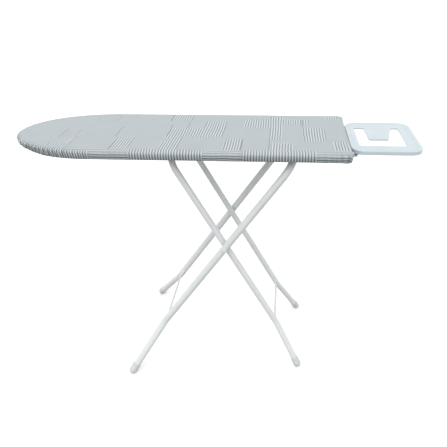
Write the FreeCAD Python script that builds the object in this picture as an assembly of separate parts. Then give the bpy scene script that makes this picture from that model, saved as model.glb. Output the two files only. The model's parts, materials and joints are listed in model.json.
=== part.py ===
import FreeCAD, Part
import math
import os

V = FreeCAD.Vector
same_place = 0.01

# Folding ironing board, standing open. Sizes are in millimetres.
# +X runs from the pointed nose to the square heel, which carries the iron rest. +Z is up.
# The origin is on the floor, under the middle of the whole object.

# Board, cover and pad
board_length = 1093.0
board_width = 380.0
nose_length = 298.0
heel_corner = 15.0
smallest_corner = 4.0
working_height = 870.0
cover_thickness = 1.2
cover_depth = 29.0
cover_edge_radius = 8.0
hem_edge_radius = 3.0
hem_width = 28.0
elastic_size = 3.0
nose_rise = 12.0
nose_rise_length = 150.0
pad_thickness = 8.0

# Pressed steel top under the pad
panel_thickness = 1.0
edge_frame_wall = 1.5
edge_frame_lip = 11.0
vent_diameter = 26.0
vent_pitch = 54.0
vent_margin = 34.0
brace_width = 44.0
brace_end_gap = 23.0
brace_thickness = 4.0

# Iron rest beyond the heel
rest_gap = 3.0
rest_length = 218.0
rest_width = 278.0
rest_drop = 9.0
rest_depth = 13.0
rest_sheet = 1.5
rest_corner = 42.0
rest_edge_radius = 3.0
rest_border_heel = 28.0
rest_border_end = 44.0
rest_border_near = 46.0
rest_border_far = 63.0
cutout_corner = 12.0
tongue_offset = 32.0
tongue_root = 91.0
tongue_length = 112.0
tongue_heel_taper = 4.0
tongue_end_taper = 25.0
tongue_corner = 8.0
cutout_lip = 4.0
arm_width = 20.0
arm_thickness = 4.0
arm_from_rest_side = 22.0
arm_reach_under_board = 120.0
arm_end_margin = 26.0
arm_ramp = 12.0
arm_corner_gap = 1.0
arm_clearance = 0.3
arm_spacer_diameter = 14.0
arm_screw_places = (15.0, 75.0)

# Leg frames: the outer one is hinged near the heel, the inner one slides on the track
outer_tube = 25.0
inner_tube = 22.0
tube_wall = 1.2
leg_top_drop = 52.0
hinge_from_heel = 170.0
outer_foot_from_nose = 343.0
inner_foot_from_heel = 133.0
inner_top_from_nose = 526.0
outer_half_gap = 146.0
leg_side_gap = 2.5
outer_foot_half_gap = 243.0
inner_foot_half_gap = 173.5
outer_bend_share = 0.797
inner_bend_share = 0.806
outer_top_bend = 55.0
inner_top_bend = 50.0
splay_bend = 60.0
folded_angle = 2.2
cap_wall = 1.8
cap_length = 27.0
cap_edge_round = 1.2
cap_flat = 0.8
rod_diameter = 7.0
rod_above_bend = 9.0
rod_hook_radius = 9.0
rod_hook_length = 24.0

# Crossing pivot
rivet_diameter = 8.0
rivet_head_diameter = 15.0
rivet_head_height = 3.5
rivet_head_round = 2.4
washer_edge = 1.0
washer_thickness = 1.5
running_gap = 0.3
pivot_clearance = 0.1

# Hinge of the outer frame
hinge_half_spacing = 60.0
hinge_block_width = 30.0
hinge_block_length = 52.0
strap_thickness = 2.0
screw_diameter = 4.0
screw_head_diameter = 8.0
screw_head_height = 2.5
hinge_screw_length = 26.0

# Track, sliding carriage and release lever of the inner frame
track_width = 80.0
track_thickness = 4.0
track_clearance = 0.4
track_overrun = 45.0
track_post = 12.0
track_rivet_diameter = 5.0
track_rivet_head = 2.0
carriage_front = 18.0
carriage_back = 26.0
carriage_half_width = 46.0
cheek_inside = 24.0
carriage_below_bar = 16.0
hook_overlap = 7.0
hook_thickness = 4.0
bridge_thickness = 6.0
lever_ring_wall = 3.6
lever_half_width = 9.0
lever_nose_width = 6.0
lever_length = 92.0
lever_plate = 5.0
lever_below_axis = 9.0
grip_length = 46.0
grip_half_width = 16.0
grip_height = 11.0
grip_round = 3.0
spring_wire = 1.6
spring_pitch = 2.4
spring_clearance = 1.4

# Places that follow from the sizes
overall_length = board_length + rest_gap + rest_length
nose_x = -overall_length / 2
heel_x = nose_x + board_length
shoulder_x = nose_x + nose_length
rise_x = nose_x + nose_rise_length
rest_x = heel_x + rest_gap
rest_end_x = rest_x + rest_length
pad_top = working_height - cover_thickness
panel_top = pad_top - pad_thickness
panel_bottom = panel_top - panel_thickness
brace_bottom = panel_bottom - brace_thickness
hem_bottom = working_height - cover_depth
hem_top = hem_bottom + cover_thickness
leg_top_z = working_height - leg_top_drop
outer_radius = outer_tube / 2
inner_radius = inner_tube / 2
washer_radius = inner_radius - washer_edge
outer_cap_radius = outer_radius + cap_wall
inner_cap_radius = inner_radius + cap_wall
inner_half_gap = outer_half_gap - outer_radius - leg_side_gap - inner_radius
arm_half_spacing = rest_width / 2 - arm_from_rest_side
pin_radius = rivet_diameter / 2
pin_bore = pin_radius + pivot_clearance


class LegLine:
    # side view of one leg frame: the axis of its top bar and the centre of its foot
    def __init__(self, top_x, foot_x, foot_z):
        self.top = V(top_x, 0, leg_top_z)
        self.run = foot_x - top_x
        self.drop = leg_top_z - foot_z
        self.length = math.hypot(self.run, self.drop)
        self.slope = math.atan2(self.drop, abs(self.run))
        self.turn = math.degrees(math.atan2(self.drop, self.run))

    def stand(self, shape):
        placed = shape.copy()
        placed.rotate(V(0, 0, 0), V(0, 1, 0), self.turn)
        placed.translate(self.top)
        return placed


outer_foot_x = nose_x + outer_foot_from_nose
inner_foot_x = heel_x - inner_foot_from_heel
outer_line = LegLine(heel_x - hinge_from_heel, outer_foot_x, outer_cap_radius - cap_flat)
inner_line = LegLine(nose_x + inner_top_from_nose, inner_foot_x, inner_cap_radius - cap_flat)


def crossing_point():
    # where the two leg lines cross in side view
    a = outer_line
    b = inner_line
    across = a.run * -b.drop - b.run * -a.drop
    share = (b.top.x - a.top.x) * -b.drop / across
    return V(a.top.x + share * a.run, 0, leg_top_z - share * a.drop)


pivot = crossing_point()
outer_reach = pivot.distanceToPoint(outer_line.top)
inner_reach = pivot.distanceToPoint(inner_line.top)
folded_slope = math.radians(folded_angle)
inner_folded_slope = math.asin(outer_reach * math.sin(folded_slope) / inner_reach)


def bar_place(share):
    # axis of the inner top bar when the legs are folded by this share of their travel
    outer = outer_line.slope + (folded_slope - outer_line.slope) * share
    inner = inner_line.slope + (inner_folded_slope - inner_line.slope) * share
    x = outer_line.top.x - outer_reach * math.cos(outer) - inner_reach * math.cos(inner)
    z = leg_top_z - outer_reach * math.sin(outer) + inner_reach * math.sin(inner)
    return V(x, 0, z)


# the bar rises a little in mid-travel, so the track leaves that much room above the carriage
travel_steps = 40
bar_rise = max(bar_place(i / travel_steps).z for i in range(travel_steps + 1)) - leg_top_z
track_top = panel_bottom - 2 * track_clearance - hook_thickness - bar_rise
track_bottom = track_top - track_thickness


def box(x0, x1, y0, y1, z0, z1):
    return Part.makeBox(x1 - x0, y1 - y0, z1 - z0, V(x0, y0, z0))


def upright(radius, x, y, z0, z1):
    return Part.makeCylinder(radius, z1 - z0, V(x, y, z0))


def cross_pin(radius, x, z, y0, y1):
    return Part.makeCylinder(radius, y1 - y0, V(x, y0, z), V(0, 1, 0))


def both_sides(shape):
    return [shape, shape.mirror(V(0, 0, 0), V(0, 1, 0))]


def edges_at_height(shape, z):
    return [edge for edge in shape.Edges if abs(edge.CenterOfMass.z - z) < same_place
            and all(abs(vertex.Z - z) < same_place for vertex in edge.Vertexes)]


def edges_at_side(shape, y):
    return [edge for edge in shape.Edges if abs(edge.CenterOfMass.y - y) < same_place
            and all(abs(vertex.Y - y) < same_place for vertex in edge.Vertexes)]


def rounded_path(corners, closed):
    # straight runs joined by arcs; each corner is a point and its bend radius
    spans = []
    for i, (point, radius) in enumerate(corners):
        if radius == 0:
            spans.append((point, None, point))
            continue
        before = (corners[i - 1][0] - point).normalize()
        after = (corners[(i + 1) % len(corners)][0] - point).normalize()
        half = before.getAngle(after) / 2
        reach = radius / math.tan(half)
        inward = (before + after).normalize()
        middle = point + inward * (radius / math.sin(half) - radius)
        spans.append((point + before * reach, middle, point + after * reach))
    edges = []
    for i, (start, middle, end) in enumerate(spans):
        if middle is not None:
            edges.append(Part.Arc(start, middle, end).toShape())
        following = spans[(i + 1) % len(spans)][0]
        last_open = i == len(spans) - 1 and not closed
        if not last_open and following.distanceToPoint(end) > same_place:
            edges.append(Part.makeLine(end, following))
    return Part.Wire(edges)


def swept_rod(path, radius):
    first = path.Edges[0]
    start = first.valueAt(first.FirstParameter)
    direction = first.tangentAt(first.FirstParameter)
    ring = Part.Wire(Part.makeCircle(radius, start, direction))
    return path.makePipeShell([ring], True, False)


def board_outline(inset):
    # half-elliptical nose, straight sides and a square heel with small corners
    half = board_width / 2 - inset
    heel = heel_x - inset
    corner = max(heel_corner - inset, smallest_corner)
    nose = Part.Ellipse(V(shoulder_x, 0, 0), nose_length - inset, half)
    corners = [(V(shoulder_x, -half, 0), 0), (V(heel, -half, 0), corner),
               (V(heel, half, 0), corner), (V(shoulder_x, half, 0), 0)]
    sides = rounded_path(corners, False)
    return Part.Wire([nose.toShape(math.pi / 2, 3 * math.pi / 2)] + sides.Edges)


def board_slab(inset, z0, z1):
    face = Part.Face(board_outline(inset))
    face.translate(V(0, 0, z0))
    return face.extrude(V(0, 0, z1 - z0))


def half_width_at(x):
    if x >= shoulder_x:
        return board_width / 2
    share = (shoulder_x - x) / nose_length
    return board_width / 2 * math.sqrt(max(1 - share * share, 0))


def under_rise(level):
    # all that lies below a level that climbs towards the tip of the nose
    end_x = nose_x - 1
    end_level = level + nose_rise * (rise_x - end_x) / nose_rise_length
    corners = [V(rise_x, -board_width, level), V(end_x, -board_width, end_level),
               V(end_x, -board_width, level - cover_depth), V(rise_x, -board_width, level - cover_depth)]
    side = Part.Face(Part.makePolygon(corners + corners[:1]))
    return side.extrude(V(0, 2 * board_width, 0))


def make_cover():
    outside = board_slab(0, hem_bottom, working_height)
    outside = outside.makeFillet(cover_edge_radius, edges_at_height(outside, working_height))
    outside = outside.makeFillet(hem_edge_radius, edges_at_height(outside, hem_bottom))
    inside = board_slab(cover_thickness, hem_top, pad_top)
    inside = inside.makeFillet(cover_edge_radius - cover_thickness, edges_at_height(inside, pad_top))
    opening = board_slab(hem_width, hem_bottom - 1, hem_top + nose_rise + 1)
    return outside.cut(under_rise(hem_bottom)).cut(inside.cut(under_rise(hem_top))).cut(opening)


def make_hem_elastic():
    # flat braid that lies on the turned hem and climbs with it at the nose
    top = hem_top + nose_rise + elastic_size
    band = board_slab(hem_width - 1.5 * elastic_size, hem_top, top)
    band = band.cut(board_slab(hem_width - 0.5 * elastic_size, hem_top - 1, top + 1))
    above = box(nose_x - 1, heel_x + 1, -board_width, board_width, hem_top + elastic_size, top + 1)
    above = above.cut(under_rise(hem_top + elastic_size))
    return band.cut(under_rise(hem_top)).cut(above)


def make_pad():
    slab = board_slab(cover_thickness, panel_top, pad_top)
    return slab.makeFillet(cover_edge_radius - cover_thickness, edges_at_height(slab, pad_top))


def vent_places():
    rows = int((board_width / 2 - vent_margin) / vent_pitch)
    places = []
    columns = int(board_length / vent_pitch)
    for column in range(1, columns):
        x = nose_x + column * vent_pitch
        stagger = vent_pitch / 2 * (column % 2)
        for row in range(-rows - 1, rows + 1):
            y = row * vent_pitch + stagger
            if abs(y) + vent_margin < half_width_at(x - vent_pitch / 2) and x + vent_margin < heel_x:
                places.append((x, y))
    return places


def brace_places():
    track_start = bar_place(0).x + track_overrun - track_post / 2
    track_end = bar_place(1).x - track_overrun + track_post / 2
    return [outer_line.top.x, track_start, track_end]


def vent_is_clear(x, y):
    # no vent over a brace or over a spacer of the rest arms
    braces = all(abs(x - brace) > (brace_width + vent_diameter) / 2 + 1 for brace in brace_places())
    reach = (arm_spacer_diameter + vent_diameter) / 2 + 1
    spacers = [heel_x - arm_reach_under_board + place for place in arm_screw_places]
    return braces and all(math.hypot(x - spot, abs(y) - arm_half_spacing) > reach for spot in spacers)


def make_top_panel():
    slab = board_slab(cover_thickness, panel_bottom, panel_top)
    vents = [upright(vent_diameter / 2, x, y, panel_bottom - 1, panel_top + 1)
             for x, y in vent_places() if vent_is_clear(x, y)]
    return slab.cut(Part.Compound(vents))


def make_edge_frame():
    wall = board_slab(cover_thickness, hem_top, panel_bottom).cut(under_rise(hem_top))
    lip_top = hem_top + edge_frame_wall
    inside = board_slab(cover_thickness + edge_frame_wall, lip_top, panel_bottom).cut(under_rise(lip_top))
    opening = board_slab(cover_thickness + edge_frame_lip, hem_top, lip_top + nose_rise)
    return wall.cut(inside).cut(opening)


def make_hinge_block():
    x = outer_line.top.x
    half = hinge_block_length / 2
    y0 = hinge_half_spacing - hinge_block_width / 2
    y1 = hinge_half_spacing + hinge_block_width / 2
    block = box(x - half, x + half, y0, y1, leg_top_z, brace_bottom)
    block = block.cut(cross_pin(outer_radius + running_gap, x, leg_top_z, y0 - 1, y1 + 1))
    for screw in hinge_screws_one_side():
        block = block.cut(screw)
    return block


def make_hinge_strap():
    x = outer_line.top.x
    half = hinge_block_length / 2
    y0 = hinge_half_spacing - hinge_block_width / 2
    y1 = hinge_half_spacing + hinge_block_width / 2
    seat = outer_radius + running_gap
    strap = cross_pin(seat + strap_thickness, x, leg_top_z, y0, y1)
    strap = strap.fuse(box(x - half, x + half, y0, y1, leg_top_z - strap_thickness, leg_top_z))
    strap = strap.cut(cross_pin(seat, x, leg_top_z, y0 - 1, y1 + 1))
    strap = strap.cut(box(x - half, x + half, y0 - 1, y1 + 1, leg_top_z, leg_top_z + outer_tube))
    for screw in hinge_screws_one_side():
        strap = strap.cut(screw)
    return strap


def upward_screw(x, y, seat_z, length):
    # pan head under seat_z, plain shank above it
    head = upright(screw_head_diameter / 2, x, y, seat_z - screw_head_height, seat_z)
    head = head.makeFillet(screw_head_height / 2, edges_at_height(head, seat_z - screw_head_height))
    return head.fuse(upright(screw_diameter / 2, x, y, seat_z, seat_z + length))


def hinge_screws_one_side():
    out = outer_radius + running_gap + strap_thickness
    offset = (out + hinge_block_length / 2) / 2
    seat = leg_top_z - strap_thickness
    return [upward_screw(outer_line.top.x + side * offset, hinge_half_spacing, seat, hinge_screw_length)
            for side in (-1, 1)]


def track_pins():
    return [upright(track_rivet_diameter / 2, x, y, track_bottom, panel_bottom)
            for x in brace_places()[1:] for y in (-track_width / 4, track_width / 4)]


def make_height_track():
    # flat strip held below the top by a post at each end
    start = bar_place(0).x + track_overrun
    end = bar_place(1).x - track_overrun
    half = track_width / 2
    track = box(end, start, -half, half, track_bottom, track_top)
    for x0 in (end, start - track_post):
        track = track.fuse(box(x0, x0 + track_post, -half, half, track_bottom, brace_bottom))
    return track.removeSplitter().cut(Part.Compound(track_pins()))


def make_track_rivets():
    rivets = []
    for pin in track_pins():
        middle = pin.BoundBox.Center
        low = track_bottom - track_rivet_head
        head = upright(track_rivet_diameter, middle.x, middle.y, low, track_bottom)
        rivets.append(pin.fuse(head))
    return rivets


def make_cross_braces():
    half = brace_width / 2
    pins = Part.Compound(track_pins())
    braces = []
    for x in brace_places():
        side = half_width_at(x - half) - brace_end_gap
        braces.append(box(x - half, x + half, -side, side, brace_bottom, panel_bottom).cut(pins))
    return braces


def rest_outline(inset):
    half = rest_width / 2 - inset
    radius = rest_corner - inset
    x0 = rest_x + inset
    x1 = rest_end_x - inset
    corners = [(V(x0, -half, 0), radius), (V(x1, -half, 0), radius),
               (V(x1, half, 0), radius), (V(x0, half, 0), radius)]
    return rounded_path(corners, True)


def cutout_outline(grow):
    # opening of the rest, with a tapered tongue reaching in from its far side
    x0 = rest_x + rest_border_heel - grow
    x1 = rest_end_x - rest_border_end + grow
    near = -rest_width / 2 + rest_border_near - grow
    far = rest_width / 2 - rest_border_far + grow
    root = rest_x + rest_border_heel + tongue_offset + grow
    tip = rest_width / 2 - rest_border_far - tongue_length + grow
    root_end = root + tongue_root - 2 * grow
    points = [(V(x0, near, 0), cutout_corner + grow), (V(x1, near, 0), cutout_corner + grow),
              (V(x1, far, 0), tongue_corner), (V(root_end, far, 0), tongue_corner - grow),
              (V(root_end - tongue_end_taper, tip, 0), tongue_corner - grow),
              (V(root + tongue_heel_taper, tip, 0), tongue_corner - grow),
              (V(root, far, 0), tongue_corner - grow), (V(x0, far, 0), tongue_corner)]
    return rounded_path(points, True)


def slab_of(wire, z0, z1):
    face = Part.Face(wire)
    face.translate(V(0, 0, z0))
    return face.extrude(V(0, 0, z1 - z0))


def make_iron_rest():
    top = working_height - rest_drop
    bottom = top - rest_depth
    plate = slab_of(rest_outline(0), bottom, top)
    plate = plate.makeFillet(rest_edge_radius, edges_at_height(plate, top))
    hollow = slab_of(rest_outline(rest_sheet), bottom - 1, top - rest_sheet)
    inner_radius_top = rest_edge_radius - rest_sheet
    hollow = hollow.makeFillet(inner_radius_top, edges_at_height(hollow, top - rest_sheet))
    hollow = hollow.cut(slab_of(cutout_outline(rest_sheet), bottom - 2, top + 1))
    plate = plate.cut(slab_of(cutout_outline(0), bottom - 2, top + 1)).cut(hollow)
    return plate.cut(slab_of(cutout_outline(rest_sheet), bottom - 2, top - cutout_lip))


def arm_ramp_start():
    # the arm climbs once its outer edge is inside the rounded corner of the rest
    inside = rest_corner - rest_sheet - arm_corner_gap
    across = arm_half_spacing + arm_width / 2 - (rest_width / 2 - rest_corner)
    return rest_x + rest_corner - math.sqrt(inside ** 2 - across ** 2)


def make_rest_arm():
    low_top = hem_bottom - arm_clearance
    high_top = working_height - rest_drop - rest_sheet
    ramp_x = arm_ramp_start()
    x0 = heel_x - arm_reach_under_board
    x1 = rest_end_x - arm_end_margin
    points = [V(x0, 0, low_top), V(ramp_x, 0, low_top),
              V(ramp_x + arm_ramp, 0, high_top), V(x1, 0, high_top)]
    lower = [point - V(0, 0, arm_thickness) for point in reversed(points)]
    profile = Part.Face(Part.makePolygon(points + lower + points[:1]))
    profile.translate(V(0, arm_half_spacing - arm_width / 2, 0))
    arm = profile.extrude(V(0, arm_width, 0))
    for screw in arm_screws_one_side():
        arm = arm.cut(screw)
    return arm


def arm_screws_one_side():
    seat = hem_bottom - arm_clearance - arm_thickness
    x0 = heel_x - arm_reach_under_board
    length = panel_bottom - seat
    return [upward_screw(x0 + place, arm_half_spacing, seat, length) for place in arm_screw_places]


def make_arm_spacers():
    low = hem_bottom - arm_clearance
    x0 = heel_x - arm_reach_under_board
    spacers = []
    for place, screw in zip(arm_screw_places, arm_screws_one_side()):
        post = upright(arm_spacer_diameter / 2, x0 + place, arm_half_spacing, low, panel_bottom)
        spacers += both_sides(post.cut(screw))
    return spacers


def leg_path(line, half_gap, foot_half_gap, bend_share, top_bend):
    # one tube bent in its own plane: foot, splay, leg, top bar, and back down
    knee = line.length * bend_share
    corners = [(V(line.length, -foot_half_gap, 0), 0), (V(knee, -half_gap, 0), splay_bend),
               (V(0, -half_gap, 0), top_bend), (V(0, half_gap, 0), top_bend),
               (V(knee, half_gap, 0), splay_bend), (V(line.length, foot_half_gap, 0), 0)]
    return rounded_path(corners, False)


def outer_path():
    return leg_path(outer_line, outer_half_gap, outer_foot_half_gap, outer_bend_share, outer_top_bend)


def inner_path():
    return leg_path(inner_line, inner_half_gap, inner_foot_half_gap, inner_bend_share, inner_top_bend)


def make_leg_tube(line, path, radius, bore):
    tube = swept_rod(path, radius).cut(swept_rod(path, radius - tube_wall))
    tube = line.stand(tube)
    reach = outer_foot_half_gap
    return tube.cut(cross_pin(bore, pivot.x, pivot.z, -reach, reach))


def make_foot_cap(line, half_gap, foot_half_gap, bend_share, cap_radius, tube_radius, side):
    knee = V(line.length * bend_share, side * half_gap, 0)
    foot = V(line.length, side * foot_half_gap, 0)
    along = (foot - knee).normalize()
    top = foot - along * cap_length
    sleeve = Part.makeCylinder(cap_radius, cap_length, top, along)
    rim = [edge for edge in sleeve.Edges
           if edge.Closed and edge.CenterOfMass.distanceToPoint(top) < same_place]
    sleeve = sleeve.makeFillet(cap_edge_round, rim)
    cap = sleeve.fuse(Part.makeSphere(cap_radius, foot))
    cap = cap.cut(Part.makeCylinder(tube_radius, cap_length + 1, top - along, along))
    cap = line.stand(cap)
    at = line.stand(Part.Vertex(foot)).Point
    reach = 2 * cap_radius
    return cap.cut(box(at.x - reach, at.x + reach, at.y - reach, at.y + reach, -reach, 0)).removeSplitter()


def make_cross_rod(line, half_gap, bend_share, tube_radius):
    # welded between the legs just above the splay, its ends turned up along the tubes
    radius = rod_diameter / 2
    u = line.length * bend_share - rod_above_bend
    side = half_gap - tube_radius - radius
    top = u - rod_hook_radius - rod_hook_length
    corners = [(V(top, -side, 0), 0), (V(u, -side, 0), rod_hook_radius),
               (V(u, side, 0), rod_hook_radius), (V(top, side, 0), 0)]
    return line.stand(swept_rod(rounded_path(corners, False), radius))


def rounded_head(y0, y1, outer_side):
    head = cross_pin(rivet_head_diameter / 2, pivot.x, pivot.z, y0, y1)
    return head.makeFillet(rivet_head_round, edges_at_side(head, y1 if outer_side else y0))


def make_pivot_rivet():
    outer_seat = outer_half_gap + outer_radius + washer_thickness
    inner_seat = inner_half_gap - inner_radius - running_gap
    pin = cross_pin(pin_radius, pivot.x, pivot.z, inner_seat, outer_seat)
    pin = pin.fuse(rounded_head(outer_seat, outer_seat + rivet_head_height, True))
    return pin.fuse(rounded_head(inner_seat - rivet_head_height, inner_seat, False))


def saddle_washer(line, half_gap, tube_radius, outer_face, bore):
    # flat outside, hollowed inside to sit on the round leg
    y0 = half_gap + math.sqrt(tube_radius ** 2 - washer_radius ** 2)
    disc = cross_pin(washer_radius, pivot.x, pivot.z, y0, outer_face)
    disc = disc.cut(cross_pin(bore, pivot.x, pivot.z, y0 - 1, outer_face + 1))
    reach = 2 * washer_radius
    start = V(pivot.distanceToPoint(line.top) - reach, half_gap, 0)
    leg = line.stand(Part.makeCylinder(tube_radius, 2 * reach, start, V(1, 0, 0)))
    return disc.cut(leg)


def make_rivet_washer():
    face = outer_half_gap + outer_radius + washer_thickness
    return saddle_washer(outer_line, outer_half_gap, outer_radius, face, pin_radius)


def make_pivot_spacer():
    face = outer_half_gap - outer_radius - running_gap
    return saddle_washer(inner_line, inner_half_gap, inner_radius, face, pin_bore)


def make_track_carriage():
    # two cheeks round the bar that hook over the edges of the track, joined behind the lever
    bar = bar_place(0)
    x0 = bar.x - carriage_back
    x1 = bar.x + carriage_front
    slot_low = track_bottom - bar_rise - track_clearance
    slot_high = track_top + track_clearance
    bottom = bar.z - carriage_below_bar
    hook = track_width / 2 - hook_overlap
    slot = track_width / 2 + running_gap
    cheek = box(x0, x1, cheek_inside, carriage_half_width, bottom, slot_high + hook_thickness)
    cheek = cheek.cut(box(x0, x1, cheek_inside, slot, slot_low, slot_high))
    cheek = cheek.cut(box(x0, x1, cheek_inside, hook, slot_high, slot_high + hook_thickness))
    sides = both_sides(cheek)
    bridge = box(x0, x0 + bridge_thickness, -cheek_inside, cheek_inside, bottom, slot_low)
    body = bridge.fuse(sides[0]).fuse(sides[1])
    seat = inner_radius + running_gap
    bore = cross_pin(seat, bar.x, bar.z, -carriage_half_width, carriage_half_width)
    return body.cut(bore).removeSplitter()


def make_release_lever():
    bar = bar_place(0)
    seat = inner_radius + running_gap
    tip = track_bottom - bar_rise - track_clearance - bar.z
    wide = lever_half_width
    ring = cross_pin(seat + lever_ring_wall, bar.x, bar.z, -wide, wide)
    lobe = cross_pin(tip, bar.x, bar.z, -wide, wide)
    side = lever_nose_width / 2
    nose = lobe.common(box(bar.x - side, bar.x + side, -wide, wide, bar.z, bar.z + tip))
    z0 = bar.z - lever_below_axis
    arm = box(bar.x, bar.x + lever_length, -wide, wide, z0, z0 + lever_plate)
    lever = ring.fuse(nose).fuse(arm)
    return lever.cut(cross_pin(seat, bar.x, bar.z, -wide - 1, wide + 1)).removeSplitter()


def make_lever_grip():
    bar = bar_place(0)
    x1 = bar.x + lever_length + grip_round
    z0 = bar.z - lever_below_axis + (lever_plate - grip_height) / 2
    grip = box(x1 - grip_length, x1, -grip_half_width, grip_half_width, z0, z0 + grip_height)
    grip = grip.makeFillet(grip_round, grip.Edges)
    wide = lever_half_width
    low = bar.z - lever_below_axis
    return grip.cut(box(bar.x, bar.x + lever_length, -wide, wide, low, low + lever_plate))


def make_lever_spring():
    bar = bar_place(0)
    radius = inner_radius + spring_clearance + spring_wire / 2
    room = cheek_inside - lever_half_width - 2 * spring_wire
    coil = Part.makeHelix(spring_pitch, room, radius)
    section = Part.Wire(Part.makeCircle(spring_wire / 2, V(radius, 0, 0), V(0, 1, 0)))
    wire = Part.Wire(coil.Edges).makePipeShell([section], True, True)
    wire.rotate(V(0, 0, 0), V(1, 0, 0), -90)
    wire.translate(V(bar.x, cheek_inside - spring_wire / 2 - room, bar.z))
    return wire


def foot(line, half_gap, foot_half_gap, bend_share, cap_radius, tube_radius):
    return [make_foot_cap(line, half_gap, foot_half_gap, bend_share, cap_radius, tube_radius, side)
            for side in (-1, 1)]


def build_all():
    outer_feet = foot(outer_line, outer_half_gap, outer_foot_half_gap, outer_bend_share,
                      outer_cap_radius, outer_radius)
    inner_feet = foot(inner_line, inner_half_gap, inner_foot_half_gap, inner_bend_share,
                      inner_cap_radius, inner_radius)
    hinge_screws = [one for screw in hinge_screws_one_side() for one in both_sides(screw)]
    arm_screws = [one for screw in arm_screws_one_side() for one in both_sides(screw)]
    return {
        "cover": [make_cover()],
        "hem_elastic": [make_hem_elastic()],
        "pad": [make_pad()],
        "top_panel": [make_top_panel()],
        "edge_frame": [make_edge_frame()],
        "cross_braces": make_cross_braces(),
        "hinge_blocks": both_sides(make_hinge_block()),
        "hinge_straps": both_sides(make_hinge_strap()),
        "hinge_screws": hinge_screws,
        "height_track": [make_height_track()],
        "track_rivets": make_track_rivets(),
        "iron_rest": [make_iron_rest()],
        "rest_arms": both_sides(make_rest_arm()),
        "arm_spacers": make_arm_spacers(),
        "arm_screws": arm_screws,
        "outer_leg_tube": [make_leg_tube(outer_line, outer_path(), outer_radius, pin_radius)],
        "outer_cross_rod": [make_cross_rod(outer_line, outer_half_gap, outer_bend_share, outer_radius)],
        "outer_foot_near": [outer_feet[0]],
        "outer_foot_far": [outer_feet[1]],
        "pivot_rivets": both_sides(make_pivot_rivet()),
        "rivet_washers": both_sides(make_rivet_washer()),
        "inner_leg_tube": [make_leg_tube(inner_line, inner_path(), inner_radius, pin_bore)],
        "inner_cross_rod": [make_cross_rod(inner_line, inner_half_gap, inner_bend_share, inner_radius)],
        "inner_foot_near": [inner_feet[0]],
        "inner_foot_far": [inner_feet[1]],
        "pivot_spacers": both_sides(make_pivot_spacer()),
        "track_carriage": [make_track_carriage()],
        "lever_spring": [make_lever_spring()],
        "release_lever": [make_release_lever()],
        "lever_grip": [make_lever_grip()],
    }


os.makedirs("parts", exist_ok=True)
for name, solids in build_all().items():
    whole = solids[0] if len(solids) == 1 else Part.Compound(solids)
    whole.exportStep(f"parts/{name}.step")
    print(name, len(whole.Solids), round(whole.Volume), whole.isValid())
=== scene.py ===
import json
import math
import bmesh
import bpy
from mathutils import Matrix, Vector, noise
from mathutils.geometry import delaunay_2d_cdt


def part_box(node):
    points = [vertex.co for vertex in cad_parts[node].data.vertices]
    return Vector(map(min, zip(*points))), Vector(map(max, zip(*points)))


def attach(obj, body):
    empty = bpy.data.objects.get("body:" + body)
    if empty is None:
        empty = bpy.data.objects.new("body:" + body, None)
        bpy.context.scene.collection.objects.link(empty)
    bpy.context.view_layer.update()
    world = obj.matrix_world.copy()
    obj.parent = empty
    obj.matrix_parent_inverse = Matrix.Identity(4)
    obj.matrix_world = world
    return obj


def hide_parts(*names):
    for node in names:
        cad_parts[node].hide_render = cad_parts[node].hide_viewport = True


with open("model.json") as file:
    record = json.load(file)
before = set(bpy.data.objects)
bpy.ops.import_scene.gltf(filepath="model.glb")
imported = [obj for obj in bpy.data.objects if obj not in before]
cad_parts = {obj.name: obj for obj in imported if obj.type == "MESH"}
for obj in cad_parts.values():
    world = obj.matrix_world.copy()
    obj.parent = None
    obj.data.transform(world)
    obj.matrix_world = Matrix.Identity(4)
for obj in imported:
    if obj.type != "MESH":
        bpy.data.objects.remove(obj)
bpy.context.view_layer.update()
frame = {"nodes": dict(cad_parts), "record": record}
scene = bpy.context.scene
cadNodes = frame["nodes"]
print("frame loaded:", len(cadNodes), "CAD nodes")


# small tools
def toLinear(hexColour):
    # sRGB hex to the linear colour a shader wants
    parts = [int(hexColour[i:i + 2], 16) / 255 for i in (1, 3, 5)]
    return tuple(c / 12.92 if c <= 0.04045 else ((c + 0.055) / 1.055) ** 2.4 for c in parts) + (1.0,)


def addNode(tree, kind, inputs=None, **settings):
    # one node: settings are its own options, inputs are values or sockets to link from
    node = tree.nodes.new(kind)
    for name, value in settings.items():
        setattr(node, name, value)
    for key, value in (inputs or {}).items():
        socket = node.inputs[key]
        if isinstance(value, bpy.types.NodeSocket):
            tree.links.new(value, socket)
        else:
            socket.default_value = value
    return node


def startMaterial(name, colour, roughness, **extra):
    # a Principled shader with its whole-surface values set on its own sockets
    material = bpy.data.materials.new(name)
    material.use_nodes = True
    tree = material.node_tree
    shader = tree.nodes["Principled BSDF"]
    shader.inputs["Base Color"].default_value = toLinear(colour)
    shader.inputs["Roughness"].default_value = roughness
    for label, value in extra.items():
        shader.inputs[label.replace("_", " ")].default_value = value
    return material, tree, shader


def meshObject(name, points, faces, material=None):
    mesh = bpy.data.meshes.new(name)
    mesh.from_pydata([tuple(p) for p in points], [], faces)
    mesh.update()
    obj = bpy.data.objects.new(name, mesh)
    scene.collection.objects.link(obj)
    if material:
        mesh.materials.append(material)
    return obj


def smoothFaces(obj, angle=40):
    for face in obj.data.polygons:
        face.use_smooth = True
    obj.data.set_sharp_from_angle(angle=math.radians(angle))


def startShape(name, sockets):
    # an empty Geometry Nodes tree with named inputs
    tree = bpy.data.node_groups.new(name, "GeometryNodeTree")
    tree.interface.new_socket(name="Geometry", in_out="INPUT", socket_type="NodeSocketGeometry")
    tree.interface.new_socket(name="Geometry", in_out="OUTPUT", socket_type="NodeSocketGeometry")
    for label, kind in sockets:
        tree.interface.new_socket(name=label, in_out="INPUT", socket_type="NodeSocket" + kind)
    return tree, addNode(tree, "NodeGroupInput").outputs


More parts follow.
